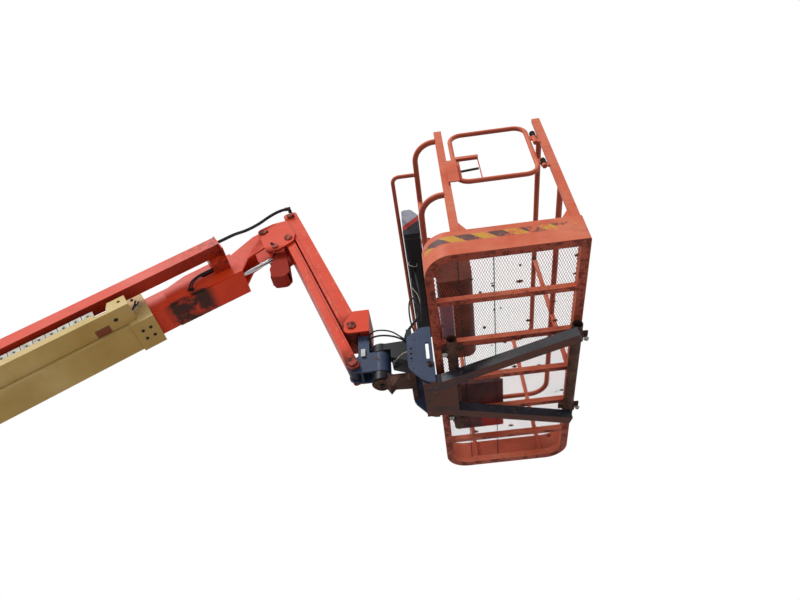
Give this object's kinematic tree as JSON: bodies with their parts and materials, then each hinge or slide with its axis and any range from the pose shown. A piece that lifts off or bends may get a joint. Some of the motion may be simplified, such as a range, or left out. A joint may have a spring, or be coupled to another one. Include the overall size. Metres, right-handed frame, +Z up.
{
  "type": "telescopic boom with jib and work platform",
  "caption": "Telescoping boom section with a folding parallel-bar jib, a turning joint and a railed work platform, ready to hang on its foot pivot.",
  "frame": {"origin": "centre of the boom's foot pivot bore", "axes": "+Z up, +X out along the machine towards the platform, +Y across it along the pivots"},
  "size_m": [5.412, 1.844, 2.6164],
  "materials": {
    "cream_paint": "dusty gloss paint",
    "orange_paint": "faded gloss paint",
    "faded_orange_paint": "faded gloss paint",
    "blue_grey_paint": "worn paint",
    "black_paint": "worn paint",
    "rusty_paint": "rusty paint",
    "red_paint": "paint",
    "brown_paint": "rusty paint",
    "grey_plastic": "moulded",
    "track_plastic": "dusty",
    "pad_plastic": "nylon",
    "chrome_rod": "polished",
    "pin_steel": "worn",
    "mesh_steel": "worn paint on expanded metal",
    "hose_rubber": "smooth"
  },
  "bodies": {
    "base_section": {"base_boom": "cream_paint", "wear_pads": "pad_plastic", "track_tray": "cream_paint", "power_track": "track_plastic", "tube_guide": "cream_paint"},
    "fly_section": {"fly_boom": "orange_paint", "push_tube": "orange_paint", "level_barrel": "black_paint", "jib_hoses": "hose_rubber", "hose_block": "black_paint", "fly_hoses": "hose_rubber"},
    "level_rod": {"level_rod": "chrome_rod"},
    "jib_base": {"jib_base_bracket": "orange_paint", "level_eye": "black_paint", "level_pins": "pin_steel", "bracket_jib_pins": "pin_steel"},
    "lower_bar": {"jib_lower_bar": "orange_paint"},
    "upper_bar": {"jib_upper_bar": "orange_paint"},
    "end_bracket": {"rotator_bracket": "blue_grey_paint", "end_clevis": "orange_paint", "end_jib_pins": "pin_steel"},
    "platform": {"rotator_shaft": "black_paint", "upper_arm": "black_paint", "lower_arm": "rusty_paint", "support_side_plates": "blue_grey_paint", "support_arms": "rusty_paint", "cross_tubes": "rusty_paint", "tube_clamps": "rusty_paint", "floor_frame": "faded_orange_paint", "floor_mesh": "mesh_steel", "toe_board": "faded_orange_paint", "side_rails": "faded_orange_paint", "end_rails": "faded_orange_paint", "rail_bends": "faded_orange_paint", "side_posts": "faded_orange_paint", "gate_posts": "faded_orange_paint", "console_box": "grey_plastic", "console_brackets": "red_paint", "console_guard": "faded_orange_paint", "storage_box": "brown_paint", "foot_switch": "black_paint", "platform_cable": "hose_rubber"},
    "gate": {"gate": "faded_orange_paint", "gate_handle": "faded_orange_paint"}
  },
  "joints": [
    {"name": "fly_slide", "type": "slide", "parent": "base_section", "child": "fly_section", "axis": [0.848, 0, 0.5299], "range_m": [0, 1.5]},
    {"name": "level_hinge", "type": "hinge", "parent": "fly_section", "child": "jib_base", "pos_m": [3.41935, 0, 2.32531], "axis": [0, -1, 0], "range_deg": [-24, 38]},
    {"name": "level_rod_slide", "type": "slide", "parent": "fly_section", "child": "level_rod", "axis": [0.848, 0, 0.5299], "range_m": [-0.09, 0.136]},
    {"name": "jib_hinge", "type": "hinge", "parent": "jib_base", "child": "lower_bar", "pos_m": [3.615, 0, 2.231], "axis": [0, -1, 0], "range_deg": [0, 140.5]},
    {"name": "upper_bar_hinge", "type": "hinge", "parent": "jib_base", "child": "upper_bar", "pos_m": [3.607, 0, 2.506], "axis": [0, -1, 0], "range_deg": [0, 140.5]},
    {"name": "end_level_hinge", "type": "hinge", "parent": "lower_bar", "child": "end_bracket", "pos_m": [4.08723, 0, 1.0198], "axis": [0, -1, 0], "range_deg": [-140.5, 0]},
    {"name": "rotator_turn", "type": "hinge", "parent": "end_bracket", "child": "platform", "pos_m": [4.244, 0, 1], "axis": [0, 0, 1], "range_deg": [-90, 90]},
    {"name": "gate_hinge", "type": "hinge", "parent": "platform", "child": "gate", "pos_m": [5.25, -0.897, 1.6], "axis": [0, 0, -1], "range_deg": [0, 88]}
  ],
  "couplings": [
    {"joint": "level_rod_slide", "follows": "level_hinge", "m_per_rad": 0.204},
    {"joint": "upper_bar_hinge", "follows": "jib_hinge", "ratio": 1},
    {"joint": "end_level_hinge", "follows": "jib_hinge", "ratio": -1}
  ]
}
